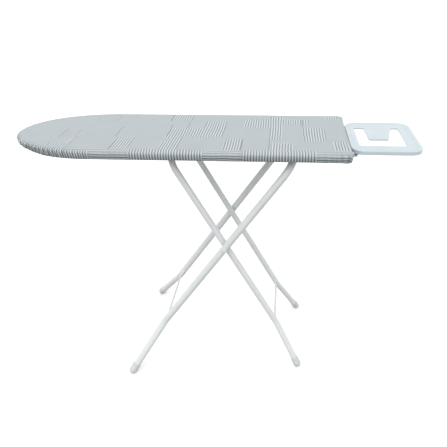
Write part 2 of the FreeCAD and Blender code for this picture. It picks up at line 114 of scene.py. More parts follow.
def endShape(tree, instances, material):
    real = addNode(tree, "GeometryNodeRealizeInstances", {0: instances})
    smooth = addNode(tree, "GeometryNodeSetShadeSmooth", {0: real.outputs[0]})
    painted = addNode(tree, "GeometryNodeSetMaterial", {0: smooth.outputs[0], "Material": material})
    addNode(tree, "NodeGroupOutput", {0: painted.outputs[0]})


def applyShape(obj, tree, values):
    # sets the inputs by their identifiers, then keeps the result as a plain mesh
    modifier = obj.modifiers.new("shape", "NODES")
    modifier.node_group = tree
    for item in tree.interface.items_tree:
        if item.in_out == "INPUT" and item.name in values:
            modifier[item.identifier] = values[item.name]
    result = bpy.data.meshes.new_from_object(obj.evaluated_get(bpy.context.evaluated_depsgraph_get()))
    obj.modifiers.clear()
    obj.data = result
    return obj


def meshPath(name, runs):
    # open or closed polylines as loose edges, for Mesh to Curve
    points, edges = [], []
    for run, closed in runs:
        start = len(points)
        points += [tuple(p) for p in run]
        edges += [(start + i, start + i + 1) for i in range(len(run) - 1)]
        if closed:
            edges.append((len(points) - 1, start))
    mesh = bpy.data.meshes.new(name)
    mesh.from_pydata(points, edges, [])
    obj = bpy.data.objects.new(name, mesh)
    scene.collection.objects.link(obj)
    return obj


def islandBoxes(nodeName, reach=0.012):
    # the separate solids of a small CAD node, as boxes, found by their place in plan
    groups = []
    for vertex in cadNodes[nodeName].data.vertices:
        p = vertex.co
        for group in groups:
            if abs(p.x - group[0].x) < reach and abs(p.y - group[0].y) < reach:
                group[1].append(p)
                break
        else:
            groups.append((p.copy(), [p]))
    boxes = []
    for _, found in groups:
        low = Vector([min(p[i] for p in found) for i in range(3)])
        high = Vector([max(p[i] for p in found) for i in range(3)])
        boxes.append((low, high))
    return boxes


# camera
cameraPlace = {
    "spot": (0.232674, -1.540971, 1.39876),
    "turnLeft": 0.075,
    "lookDown": 0.516,
    "roll": -0.013,
    "lens": 39.275,
    "shiftX": -0.0593,
}


def makeCamera():
    p = cameraPlace
    level = Vector((-math.sin(p["turnLeft"]), math.cos(p["turnLeft"]), 0))
    right = Vector((math.cos(p["turnLeft"]), math.sin(p["turnLeft"]), 0))
    up = Vector((0, 0, 1))
    ahead = level * math.cos(p["lookDown"]) - up * math.sin(p["lookDown"])
    above = level * math.sin(p["lookDown"]) + up * math.cos(p["lookDown"])
    side = right * math.cos(p["roll"]) + above * math.sin(p["roll"])
    top = above * math.cos(p["roll"]) - right * math.sin(p["roll"])
    data = bpy.data.cameras.new("viewCamera")
    data.sensor_width = 36
    data.lens = p["lens"]
    data.shift_x = p["shiftX"]
    camera = bpy.data.objects.new("viewCamera", data)
    turn = Matrix((side, top, -ahead)).transposed()
    camera.matrix_world = Matrix.Translation(p["spot"]) @ turn.to_4x4()
    scene.collection.objects.link(camera)
    scene.camera = camera


makeCamera()


# cover outline, shared by the cloth, its hem, the pad and the stitches
coverSizes = {
    "noseLength": 0.298,
    "heelCorner": 0.015,
    "tightestCorner": 0.003,
    "rollInset": 0.020,
    "rollDrop": 0.009,
    "skirtBulge": 0.0026,
    "noseFlatter": 0.8,
    "heelBulgeShare": 0.35,
    "hemRoll": 0.003,
    "noseRise": 0.012,
    "noseRiseLength": 0.150,
    "hemWidth": 0.028,
    "thickness": 0.0011,
    "rings": (11, 7, 4, 7),  # on the rolled edge, the side, the turn of the hem and under the board
    "sampleStep": 0.0045,
    "finerNose": 0.33,
    "gridStep": 0.009,
    "gridMargin": 0.004,
}

coverLow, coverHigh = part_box("cover")
coverHalf = (coverHigh.y - coverLow.y) / 2
shoulderX = coverLow.x + coverSizes["noseLength"]


def sampleOutline(step):
    # where each sample sits on the outline: kind of run, place on it, point and outward normal
    half, nose, corner = coverHalf, coverSizes["noseLength"], coverSizes["heelCorner"]
    heel = coverHigh.x
    samples = []

    def straight(kind, start, end, normal):
        count = round((end - start).length / step)
        for i in range(count):
            samples.append((kind, i / count, start.lerp(end, i / count), normal))

    def bend(kind, centre, first):
        count = max(round(corner * math.pi / 2 / step * 4), 8)
        for i in range(count):
            angle = math.radians(first + 90 * i / count)
            normal = Vector((math.cos(angle), math.sin(angle)))
            samples.append((kind, i / count, centre + normal * corner, normal))

    straight("near", Vector((shoulderX, -half)), Vector((heel - corner, -half)), Vector((0, -1)))
    bend("nearCorner", Vector((heel - corner, -half + corner)), -90)
    straight("heel", Vector((heel, -half + corner)), Vector((heel, half - corner)), Vector((1, 0)))
    bend("farCorner", Vector((heel - corner, half - corner)), 0)
    straight("far", Vector((heel - corner, half)), Vector((shoulderX, half)), Vector((0, 1)))
    fine = [math.pi / 2 + math.pi * i / 2000 for i in range(2001)]
    track = [Vector((shoulderX + nose * math.cos(a), half * math.sin(a))) for a in fine]
    run = [0.0]
    for a, b in zip(track, track[1:]):
        run.append(run[-1] + (b - a).length)
    count = round(run[-1] / step / coverSizes["finerNose"])
    place = 0
    for i in range(count):
        while run[place + 1] < run[-1] * i / count:
            place += 1
        angle = fine[place]
        normal = Vector((math.cos(angle) / nose, math.sin(angle) / half)).normalized()
        samples.append(("nose", i / count, track[place], normal))
    return samples


def runAlong(samples):
    # distance round the outline at every sample
    run = [0.0]
    for a, b in zip(samples, samples[1:]):
        run.append(run[-1] + (b[2] - a[2]).length)
    return run


def outlineAt(samples, inset):
    # the same samples on the outline moved inwards, with the heel corners kept open
    corner = max(coverSizes["heelCorner"] - inset, coverSizes["tightestCorner"])
    heel = coverHigh.x - inset
    half = coverHalf - inset
    points = []
    for kind, share, point, normal in samples:
        if kind == "nose":
            points.append(point - normal * inset)
        elif kind == "heel":
            points.append(Vector((heel, (half - corner) * (2 * share - 1))))
        elif kind in ("near", "far"):
            along = share if kind == "near" else 1 - share
            side = -half if kind == "near" else half
            points.append(Vector((shoulderX + (heel - corner - shoulderX) * along, side)))
        else:
            side = -1 if kind == "nearCorner" else 1
            centre = Vector((heel - corner, side * (half - corner)))
            points.append(centre + normal * corner)
    return points


def fillOutline(ring, step, margin):
    # points on a grid inside a ring, and the triangles that join them to it
    low = Vector((min(p.x for p in ring), min(p.y for p in ring)))
    high = Vector((max(p.x for p in ring), max(p.y for p in ring)))
    loose = []
    for i in range(1, int((high.x - low.x) / step) + 1):
        x = low.x + i * step
        crossings = []
        for a, b in zip(ring, ring[1:] + ring[:1]):
            if (a.x <= x) != (b.x <= x):
                crossings.append(a.y + (b.y - a.y) * (x - a.x) / (b.x - a.x))
        bottom, top = min(crossings, default=0) + margin, max(crossings, default=0) - margin
        if top > bottom:
            count = max(round((top - bottom) / step), 1)
            loose += [Vector((x, bottom + (top - bottom) * j / count)) for j in range(count + 1)]
    flat = ring + loose
    made = delaunay_2d_cdt(flat, [], [list(range(len(ring)))], 1, 1e-7)
    return made[0], made[2], made[3]


def riseAt(x):
    # how far the turned edge climbs towards the tip of the nose
    s = coverSizes
    return s["noseRise"] * max(coverLow.x + s["noseRiseLength"] - x, 0) / s["noseRiseLength"]


# cover cloth
puckerSizes = {
    "noseDepth": 0.0042,
    "noseSpread": 0.7,
    "cornerDepth": 0.0026,
    "heelSpread": 12,  # the higher, the closer the gathers keep to the corner
    "sideSpread": 24,
    "sideDepth": 0.0005,
    "spacing": 0.0170,
    "drift": 1.4,
    "driftLength": 0.034,
    "swellLength": 0.023,
    "shallowest": 0.35,
    # painted shade: how narrow the painted shade in each valley between gathers is
    "paintedValleyWidth": 1.3,
    "fullAtRing": 16,  # ring of the profile at which a gather has its full depth
    "onset": 1.7,
    "ease": 1.3,
    "upShare": 0.6,
    "edgeDepth": 0.0016,
    "edgeWave": (0.060, 0.0065),
    "topDepth": 0.0007,
    "topWave": (0.11, 0.07),
    "hemDrop": 0.0022,
    "hemWave": (0.014, 0.03),
}

# stretches of the near edge where the stripes run lengthwise and the cloth creases, from the heel
creasedEdge = [(-0.794, -0.670), (-0.445, -0.326), (-0.108, 0.0)]


def wave(x, y, z):
    # smooth noise between 0 and 1, the same on every run
    return min(max(0.5 + 0.62 * noise.noise(Vector((x, y, z))), 0.0), 1.0)


def gatherAt(sample):
    # how much fullness the elastic takes up here
    kind, share, _, _ = sample
    s = puckerSizes
    if kind == "nose":
        return s["sideDepth"] + s["noseDepth"] * math.sin(math.pi * share) ** s["noseSpread"]
    if "Corner" in kind:
        return s["cornerDepth"]
    beside = {"near": share, "far": 1 - share, "heel": abs(2 * share - 1)}[kind]
    spread = s["heelSpread"] if kind == "heel" else s["sideSpread"]
    return s["sideDepth"] + (s["cornerDepth"] - s["sideDepth"]) * beside ** spread


def puckerAt(at, down):
    # rounded gathers with sharp valleys between them, as a share of their full depth
    s = puckerSizes
    drift = s["drift"] * noise.noise(Vector((at / s["driftLength"], down * 0.9, 1.7)))
    fold = abs(math.sin(math.pi * at / s["spacing"] + drift)) ** 0.8
    return fold * (s["shallowest"] + (1 - s["shallowest"]) * wave(at / s["swellLength"], 0.4, 6.1))


def topRipple(x, y):
    # slight unevenness of the stretched top
    length, width = puckerSizes["topWave"]
    return puckerSizes["topDepth"] * wave(x / length, y / width, 3.1)


def puffAt(sample):
    # the padded edge stands out a little, less where the iron rest is close
    kind, share, _, _ = sample
    bulge, least = coverSizes["skirtBulge"], coverSizes["heelBulgeShare"]
    if kind == "nose":
        return bulge * (1 - coverSizes["noseFlatter"] * math.sin(math.pi * share))
    if kind == "heel":
        return bulge * (least + (1 - least) * abs(2 * share - 1) ** 4)
    return bulge


def creaseAt(point):
    # lengthwise creases where the cloth was cut along its stripes
    depth = 0.0
    if point.y < 0:
        for start, end in creasedEdge:
            middle, half = (start + end) / 2, (end - start) / 2
            depth = max(depth, 1 - (abs(point.x - coverHigh.x - middle) / half) ** 4)
    return max(depth, 0.0)


def coverProfile():
    # rings from the edge of the flat top to the edge of the hem:
    # inset, height, how far it faces out and up, share of the puff, cloth used so far
    s = coverSizes
    top, bottom = coverHigh.z, coverLow.z
    roll, drop, hem = s["rollInset"], s["rollDrop"], s["hemRoll"]
    rolled, sides, turned, under = s["rings"]
    path = []
    for i in range(1, rolled + 1):
        a = math.pi / 2 * i / rolled
        out, up = math.sin(a), math.cos(a)
        lean = Vector((drop * out, roll * up)).normalized()
        path.append((roll - roll * out, top - drop + drop * up, lean.x, lean.y, out))
    for i in range(1, sides + 1):
        puff = math.cos(math.pi / 2 * i / sides)
        path.append((0.0, top - drop - (top - drop - bottom - hem) * i / sides, 1.0, 0.0, puff))
    for i in range(1, turned + 1):
        a = math.pi / 2 * i / turned
        out, down = math.cos(a), math.sin(a)
        path.append((hem - hem * out, bottom + hem - hem * down, out, -down, 0.0))
    for i in range(1, under + 1):
        path.append((hem + (s["hemWidth"] - hem) * i / under, bottom, 0.0, -1.0, 0.0))
    rings, used, last = [], 0.0, (roll, top)
    for inset, z, outward, upward, puff in path:
        used += math.hypot(inset - last[0], z - last[1])
        last = (inset, z)
        rings.append((inset, z, outward, upward, puff, used))
    return rings


def makeCover(material):
    # flat top, then one ring of points after another over the edge and under the board
    s, folds = coverSizes, puckerSizes
    samples = sampleOutline(s["sampleStep"])
    along = runAlong(samples)
    count = len(samples)
    ring = outlineAt(samples, s["rollInset"])
    inner, made, origins = fillOutline(ring, s["gridStep"], s["gridMargin"])
    order = {}
    for i, source in enumerate(origins):
        for j in source:
            if j < count:
                order[j] = i
    points = [Vector((p.x, p.y, coverHigh.z + topRipple(p.x, p.y))) for p in inner]
    flat = [(p.x, p.y) for p in inner]
    paintedValleyShades, sides = [0.0] * len(inner), [0.0] * len(inner)
    faces = [list(face) for face in made]
    current = [order[j] for j in range(count)]
    rollEnd, hemStart = coverHigh.z - s["rollDrop"], coverLow.z + s["hemRoll"]
    for step, (inset, z, outward, upward, puff, used) in enumerate(coverProfile()):
        here = outlineAt(samples, inset)
        following = []
        down = min(step / folds["fullAtRing"], 1.0)
        reach = min(folds["onset"] * down, 1.0) ** folds["ease"]
        side = min(max((rollEnd - z) / (rollEnd - hemStart), 0.0), 1.0)
        for j, sample in enumerate(samples):
            normal = sample[3]
            at = along[j]
            pucker, gather = puckerAt(at, down), gatherAt(sample)
            fold = pucker * gather * reach
            deep = gather / folds["noseDepth"]
            # painted shade: the cloth is painted darker in the valleys between the gathers, most where they
            # are deepest
            paintedValleyShades.append(max(1 - folds["paintedValleyWidth"] * pucker, 0.0) * min(deep, 1.0) * reach)
            sides.append(side)
            length, band = folds["edgeWave"]
            crease = creaseAt(sample[2]) * folds["edgeDepth"] * wave(at / length, used / band, 5.2)
            out = (fold + crease) * max(outward, 0) + puffAt(sample) * puff
            lift = topRipple(here[j].x, here[j].y) + (fold + crease) * folds["upShare"]
            climb = riseAt(here[j].x) * side
            height = z + climb + lift * max(upward, 0)
            if upward < 0:
                length, band = folds["hemWave"]
                sink = wave(at / length, used / band, 8.4) * deep
                height += upward * min(sink, 1.0) * folds["hemDrop"]
            plan = here[j] + normal * out
            points.append(Vector((plan.x, plan.y, height)))
            cut = sample[2] + normal * (used - climb - s["rollInset"])
            flat.append((cut.x, cut.y))
            following.append(len(points) - 1)
        for j in range(count):
            k = (j + 1) % count
            faces.append([current[j], following[j], following[k], current[k]])
        current = following
    obj = meshObject("coverCloth", points, faces, material)
    layer = obj.data.uv_layers.new(name="flatCloth")
    for loop in obj.data.loops:
        layer.data[loop.index].uv = flat[loop.vertex_index]
    # the painted valley shade and the share down the skirt, both read by the cloth's material
    for label, values in (("paintedFoldShade", paintedValleyShades), ("sideShare", sides)):
        obj.data.attributes.new(label, "FLOAT", "POINT").data.foreach_set("value", values)
    smoothFaces(obj, 80)
    # the wall of the cloth lies inside the drawn face
    solid = obj.modifiers.new("thickness", "SOLIDIFY")
    solid.thickness = s["thickness"]
    solid.offset = -1
    edge = [Vector(flat[i]) for i in current]
    area = abs(sum(a.x * b.y - b.x * a.y for a, b in zip(edge, edge[1:] + edge[:1]))) / 2
    size = [max(p[i] for p in flat) - min(p[i] for p in flat) for i in range(2)]
    print("cover cloth:", len(points), "points, cut area", round(area, 3))
    return obj, samples, size, area


# blocks whose stripes run across the board, in mm from the heel: x from, x to, y from, y to
crossBlocks = [
    (-1082, -1040, -260, -92), (-1040, -1000, -260, -126), (-1000, -940, -260, -150),
    (-940, -884, -260, -128), (-884, -872, -190, -70), (-884, -794, -260, -182), (-735, -681, -174, -67),
    (-670, -445, -260, -172), (-585, -528, -178, 28), (-528, -402, -58, 30), (-472, -402, 30, 97),
    (-389, -332, -169, -73), (-326, -108, -260, -162), (-240, -176, -181, -108), (-252, -210, -78, 161),
    (-342, -252, 38, 135), (-208, -121, 73, 128), (-142, -72, -90, 44), (-52, -5, -164, -88),
    (-60, -16, 142, 175), (-1010, -930, 120, 260), (-860, -790, 96, 168), (-735, -650, 150, 260),
    (-600, -528, 104, 172), (-445, -380, 170, 260), (-300, -252, 170, 260), (-180, -110, 168, 260),
]
# small ladders of lengthwise stripes printed over those blocks
ladderBlocks = [(-206, -152, -60, -8), (-190, -142, 52, 73), (-585, -560, -98, -78)]
# printed joins between blocks, in mm: x, y from, y to
printedJoins = [
    (-884, -54, -4), (-872, -189, -70), (-932, -75, 10), (-749, -64, 43), (-735, -174, -100),
    (-583, -49, 62), (-402, -55, 98), (-248, -178, -78), (-72, -90, 44), (-332, -169, -73),
    (-528, 30, 96), (-142, 44, 128), (-600, 104, 172), (-860, 96, 150),
]

clothLook = {
    "stripe": 0.0085,
    "inkShare": 0.26,
    "crispness": 12.0,
    "thread": 0.0011,
    "ink": "#7e888d",
    "yarn": "#d2d9dd",
    "join": "#69737a",
    "joinHalfWidth": 1.1,  # in mm, as the blocks are
    "joinStrength": 0.75,
    "fadedAcross": 0.2,
    "fadedAlong": 0.58,
    "wobble": 0.0065,
    # painted shade: how dark the cloth is painted at the hem
    "paintedHemShade": 0.67,
    # painted shade: how dark the valleys between the gathers are painted
    "paintedValleyShade": 0.80,
}


def clothMaterial():
    # plain-woven cotton, printed in blocks of narrow grey stripes, then stretched over the pad
    material, tree, shader = startMaterial(
        "printedCotton", "#c0c8cc", 0.86, Sheen_Weight=0.25, Sheen_Roughness=0.55, Specular_IOR_Level=0.25)
    look = clothLook
    heelX = coverHigh.x * 1000
    cut = addNode(tree, "ShaderNodeUVMap", uv_map="flatCloth").outputs["UV"]
    wobble = addNode(tree, "ShaderNodeTexNoise", {"Vector": cut, "Scale": 12.0, "Detail": 1.0})
    drift = addNode(tree, "ShaderNodeVectorMath", {0: wobble.outputs["Color"], 1: (0.5, 0.5, 0.5)},
                    operation="SUBTRACT")
    reach = (look["wobble"], look["wobble"], 0)
    moved = addNode(tree, "ShaderNodeVectorMath", {0: drift.outputs[0], 1: reach, 2: cut},
                    operation="MULTIPLY_ADD").outputs[0]
    place = addNode(tree, "ShaderNodeSeparateXYZ", {0: moved}).outputs

    def maths(operation, *values, clamp=False):
        inputs = {i: value for i, value in enumerate(values)}
        return addNode(tree, "ShaderNodeMath", inputs, operation=operation, use_clamp=clamp).outputs[0]

    def anyOf(blocks):
        # 1 inside any of these blocks
        found = None
        for x0, x1, y0, y1 in blocks:
            inX = maths("COMPARE", place["X"], (x0 + x1 + 2 * heelX) / 2000, (x1 - x0) / 2000)
            inY = maths("COMPARE", place["Y"], (y0 + y1) / 2000, (y1 - y0) / 2000)
            block = maths("MULTIPLY", inX, inY)
            found = block if found is None else maths("MAXIMUM", found, block)
        return found

    def stripes(along):
        turns = maths("PINGPONG", maths("DIVIDE", along, look["stripe"]), 0.5)
        offEdge = maths("SUBTRACT", turns, look["inkShare"])
        return maths("MULTIPLY_ADD", offEdge, look["crispness"], 0.5, clamp=True)

    across = anyOf(crossBlocks)
    ladders = anyOf(ladderBlocks)
    wide = look["joinHalfWidth"]
    joins = anyOf([(x - wide, x + wide, y0, y1) for x, y0, y1 in printedJoins])
    across = maths("SUBTRACT", across, ladders, clamp=True)
    stripe = addNode(tree, "ShaderNodeMix", {
        0: across, 2: stripes(place["Y"]), 3: stripes(place["X"])}).outputs[0]
    # ironing has faded the print on top; the skirt is painted darker towards the hem, a painted shade where
    # the edge turns under
    side = addNode(tree, "ShaderNodeAttribute", attribute_name="sideShare").outputs["Fac"]
    onTop = addNode(tree, "ShaderNodeMapRange", {0: side, 1: 0.0, 2: 0.35, 3: 1.0, 4: 0.0}).outputs[0]
    fade = addNode(tree, "ShaderNodeMix", {
        0: across, 2: look["fadedAlong"], 3: look["fadedAcross"]}).outputs[0]
    # painted shade: the colour is multiplied darker from the top of the skirt down to the hem
    paintedHemDarkening = addNode(tree, "ShaderNodeMapRange", {
        0: side, 1: 0.1, 2: 1.0, 3: 1.0, 4: look["paintedHemShade"]}).outputs[0]
    stripe = addNode(tree, "ShaderNodeMix", {
        0: maths("MULTIPLY", onTop, fade), 2: stripe, 3: 0.5}).outputs[0]
    printed = addNode(tree, "ShaderNodeMix", {
        0: stripe, 6: toLinear(look["ink"]), 7: toLinear(look["yarn"])}, data_type="RGBA").outputs[2]
    joined = addNode(tree, "ShaderNodeMix", {
        0: maths("MULTIPLY", joins, look["joinStrength"]), 6: printed, 7: toLinear(look["join"])},
        data_type="RGBA").outputs[2]
    fine = addNode(tree, "ShaderNodeTexNoise", {"Vector": cut, "Scale": 420.0, "Detail": 3.0}).outputs[0]
    broad = addNode(tree, "ShaderNodeTexNoise", {"Vector": cut, "Scale": 16.0, "Detail": 2.0}).outputs[0]
    shade = maths("ADD", maths("MULTIPLY", fine, 0.12), maths("MULTIPLY_ADD", broad, 0.10, 0.89))
    # painted shade: the valleys between the gathers and the hem are painted darker, multiplied into the
    # mottled tone
    paintedValleyShade = addNode(tree, "ShaderNodeAttribute", attribute_name="paintedFoldShade").outputs["Fac"]
    paintedValleyDarkening = maths("MULTIPLY_ADD", paintedValleyShade, -look["paintedValleyShade"], 1.0)
    shade = maths("MULTIPLY", maths("MULTIPLY", shade, paintedHemDarkening), paintedValleyDarkening)
    toned = addNode(tree, "ShaderNodeMix", {0: 1.0, 6: joined, 7: shade},
                    data_type="RGBA", blend_type="MULTIPLY")
    tree.links.new(toned.outputs[2], shader.inputs["Base Color"])
    warp = maths("SINE", maths("MULTIPLY", place["X"], 2 * math.pi / look["thread"]))
    weft = maths("SINE", maths("MULTIPLY", place["Y"], 2 * math.pi / look["thread"]))
    weave = maths("MULTIPLY_ADD", maths("MULTIPLY", warp, weft), 0.25, fine)
    bump = addNode(tree, "ShaderNodeBump", {"Strength": 0.35, "Distance": 0.0006, "Height": weave})
    tree.links.new(bump.outputs[0], shader.inputs["Normal"])
    return material


coverCloth, outlineSamples, cutSize, cutArea = makeCover(clothMaterial())
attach(coverCloth, "board")
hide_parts("cover")


# felt pad under the cover
padSizes = {
    "gap": 0.00015,
    "rollInset": 0.019,
    "rollDrop": 0.0074,
    "rollRings": 7,
    "foot": 0.0006,
    "sampleStep": 0.006,
    "gridStep": 0.009,
    "gridMargin": 0.004,
}


def feltMaterial():
    # needled white felt, matted fibres with a few grey ones
    material, tree, shader = startMaterial("needledFelt", "#d5d5cf", 0.95, Sheen_Weight=0.4)
    here = addNode(tree, "ShaderNodeTexCoord").outputs["Object"]
    fibres = addNode(tree, "ShaderNodeTexNoise", {
        "Vector": here, "Scale": 700.0, "Detail": 5.0, "Distortion": 1.5})
    ramp = addNode(tree, "ShaderNodeValToRGB", {0: fibres.outputs[0]})
    ramp.color_ramp.elements[0].position = 0.32
    ramp.color_ramp.elements[0].color = toLinear("#b7b7b0")
    ramp.color_ramp.elements[1].position = 0.6
    ramp.color_ramp.elements[1].color = toLinear("#dddcd6")
    tree.links.new(ramp.outputs[0], shader.inputs["Base Color"])
    bump = addNode(tree, "ShaderNodeBump", {
        "Strength": 0.5, "Distance": 0.0008, "Height": fibres.outputs[0]})
    tree.links.new(bump.outputs[0], shader.inputs["Normal"])
    return material


def makePad(material):
    low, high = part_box("pad")
    gap, roll, drop = padSizes["gap"], padSizes["rollInset"], padSizes["rollDrop"]
    edge = coverSizes["thickness"] + 2 * gap
    top, bottom = high.z - gap, low.z + gap
    samples = sampleOutline(padSizes["sampleStep"])
    count = len(samples)
    angles = [math.pi / 2 * i / (padSizes["rollRings"] - 1) for i in range(padSizes["rollRings"])]
    profile = [(edge + roll - roll * math.sin(a), top - drop + drop * math.cos(a)) for a in angles]
    profile.append((edge + padSizes["foot"], bottom))
    points, faces, rings = [], [], []
    for inset, z in profile:
        plan = outlineAt(samples, inset)
        rings.append(list(range(len(points), len(points) + count)))
        points += [Vector((p.x, p.y, z)) for p in plan]
    for upper, lower in zip(rings, rings[1:]):
        for j in range(count):
            k = (j + 1) % count
            faces.append([upper[j], lower[j], lower[k], upper[k]])
    for ring, z, turned in ((rings[0], top, False), (rings[-1], bottom, True)):
        edgeRing = [Vector((points[i].x, points[i].y)) for i in ring]
        inner, made, origins = fillOutline(edgeRing, padSizes["gridStep"], padSizes["gridMargin"])
        index = {}
        for i, p in enumerate(inner):
            source = [j for j in origins[i] if j < count]
            if source:
                index[i] = ring[source[0]]
            else:
                index[i] = len(points)
                points.append(Vector((p.x, p.y, z)))
        for face in made:
            corners = [index[i] for i in face]
            faces.append(corners[::-1] if turned else corners)
    obj = meshObject("feltPad", points, faces, material)
    smoothFaces(obj, 50)
    return obj


feltPad = makePad(feltMaterial())
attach(feltPad, "board")
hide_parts("pad")
print("felt pad made")


# hem: elastic in the turned edge, and the stitches that hold it
hemSizes = {
    "elasticSize": 0.0028,
    "elasticRound": 0.0007,
    "elasticInset": 0.025,
    "elasticRipple": 0.12,
    "ripplePitch": 0.006,
    "stitchInset": 0.0215,
    "stitch": 0.0028,
    "stitchGap": 0.0042,
    "stitchWidth": 0.0007,
    "stitchSink": 0.0004,
}


def elasticMaterial():
    # braided cotton over rubber, fine cross ribs
    material, tree, shader = startMaterial("braidedElastic", "#dadbd6", 0.8, Sheen_Weight=0.3)
    run = addNode(tree, "ShaderNodeUVMap", uv_map="alongElastic").outputs["UV"]
    ribs = addNode(tree, "ShaderNodeTexWave", {"Vector": run, "Scale": 160.0, "Distortion": 0.4})
    tone = addNode(tree, "ShaderNodeMix", {
        0: ribs.outputs[1], 6: toLinear("#b5b6b1"), 7: toLinear("#e2e3de")}, data_type="RGBA")
    tree.links.new(tone.outputs[2], shader.inputs["Base Color"])
    bump = addNode(tree, "ShaderNodeBump", {"Strength": 0.6, "Distance": 0.0003, "Height": ribs.outputs[1]})
    tree.links.new(bump.outputs[0], shader.inputs["Normal"])
    return material


def makeElastic(material):
    # flat braid with rounded edges, lying on the turned hem
    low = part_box("hem_elastic")[0]
    inner, bevel = hemSizes["elasticInset"], hemSizes["elasticRound"]
    half = hemSizes["elasticSize"] / 2
    core = half - bevel
    section = []
    for right, above, first in ((1, 1, 0), (-1, 1, 90), (-1, -1, 180), (1, -1, 270)):
        for a in (math.radians(first), math.radians(first + 90)):
            section.append((right * core + bevel * math.cos(a), above * core + bevel * math.sin(a)))
    plans = [outlineAt(outlineSamples, inner - across) for across, _ in section]
    run = runAlong(outlineSamples)
    count, sides = len(run), len(section)
    points, faces, along = [], [], []
    for j in range(count):
        thin = 1 - hemSizes["elasticRipple"] * wave(run[j] / hemSizes["ripplePitch"], 0, 2.2)
        for i, (_, up) in enumerate(section):
            p = plans[i][j]
            points.append(Vector((p.x, p.y, low.z + half + up * thin + riseAt(p.x))))
            along.append((run[j], i / sides * 8 * half))
    for j in range(count):
        k = (j + 1) % count
        for i in range(sides):
            n = (i + 1) % sides
            faces.append([j * sides + i, k * sides + i, k * sides + n, j * sides + n])
    obj = meshObject("hemElastic", points, faces, material)
    layer = obj.data.uv_layers.new(name="alongElastic")
    for loop in obj.data.loops:
        layer.data[loop.index].uv = along[loop.vertex_index]
    smoothFaces(obj, 50)
    return obj


def threadMaterial():
    # twisted polyester sewing thread
    material, tree, shader = startMaterial("sewingThread", "#d9dddd", 0.6, Sheen_Weight=0.3)
    here = addNode(tree, "ShaderNodeTexCoord").outputs["Object"]
    twist = addNode(tree, "ShaderNodeTexWave", {"Vector": here, "Scale": 900.0, "Distortion": 1.0})
    bump = addNode(tree, "ShaderNodeBump", {"Strength": 0.4, "Distance": 0.0002, "Height": twist.outputs[1]})
    tree.links.new(bump.outputs[0], shader.inputs["Normal"])
    return material


def beadTree(name, material):
    # rounded beads set along every path: stitches, the ripples of a weld, the ribs of a grip
    tree, given = startShape(name, [("Spacing", "Float"), ("Size", "Vector")])
    line = addNode(tree, "GeometryNodeMeshToCurve", {0: given["Geometry"]})
    dots = addNode(tree, "GeometryNodeCurveToPoints", {0: line.outputs[0], "Length": given["Spacing"]},
                   mode="LENGTH")
    bead = addNode(tree, "GeometryNodeMeshUVSphere", {"Segments": 8, "Rings": 5, "Radius": 0.5})
    turned = addNode(tree, "FunctionNodeAlignRotationToVector", {"Vector": dots.outputs["Tangent"]},
                     axis="X")
    placed = addNode(tree, "GeometryNodeInstanceOnPoints", {
        "Points": dots.outputs[0], "Instance": bead.outputs[0],
        "Rotation": turned.outputs[0], "Scale": given["Size"]})
    endShape(tree, placed.outputs[0], material)
    return tree


def hemSurface(inset):
    # the line on the underside of the turned hem at this inset, from the cloth's own rings
    rings = coverProfile()
    first = len(coverCloth.data.vertices) - len(rings) * len(outlineSamples)
    near = min(range(len(rings)), key=lambda i: abs(rings[i][0] - inset) + (0 if rings[i][3] < -0.9 else 1))
    start = first + near * len(outlineSamples)
    return [coverCloth.data.vertices[start + j].co.copy() for j in range(len(outlineSamples))]


hemElastic = makeElastic(elasticMaterial())
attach(hemElastic, "board")
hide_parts("hem_elastic")
stitchSink = Vector((0, 0, hemSizes["stitchSink"]))
stitchLine = [p - stitchSink for p in hemSurface(hemSizes["stitchInset"])]
hemStitches = meshPath("hemStitches", [(stitchLine, True)])
applyShape(hemStitches, beadTree("stitchTree", threadMaterial()), {
    "Spacing": hemSizes["stitchGap"],
    "Size": (hemSizes["stitch"], hemSizes["stitchWidth"], hemSizes["stitchWidth"])})
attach(hemStitches, "board")
print("hem made")


# finishes of the metal and plastic pieces
def powderCoat(name, colour, roughness, peelStrength=0.12):
    # gloss powder coat on steel, with the faint orange peel it bakes with
    material, tree, shader = startMaterial(name, colour, roughness, Coat_Weight=0.35, Coat_Roughness=0.12)
    here = addNode(tree, "ShaderNodeTexCoord").outputs["Object"]
    peel = addNode(tree, "ShaderNodeTexNoise", {"Vector": here, "Scale": 420.0, "Detail": 1.5})
    broad = addNode(tree, "ShaderNodeTexNoise", {"Vector": here, "Scale": 14.0, "Detail": 2.0})
    tone = addNode(tree, "ShaderNodeHueSaturation", {"Color": toLinear(colour)})
    level = addNode(tree, "ShaderNodeMapRange", {0: broad.outputs[0], 1: 0.3, 2: 0.7, 3: 0.96, 4: 1.02})
    tree.links.new(level.outputs[0], tone.inputs["Value"])
    tree.links.new(tone.outputs[0], shader.inputs["Base Color"])
    rough = addNode(tree, "ShaderNodeMapRange", {
        0: peel.outputs[0], 3: roughness - 0.05, 4: roughness + 0.07})
    tree.links.new(rough.outputs[0], shader.inputs["Roughness"])
    bump = addNode(tree, "ShaderNodeBump", {
        "Strength": peelStrength, "Distance": 0.0004, "Height": peel.outputs[0]})
    tree.links.new(bump.outputs[0], shader.inputs["Normal"])
    return material


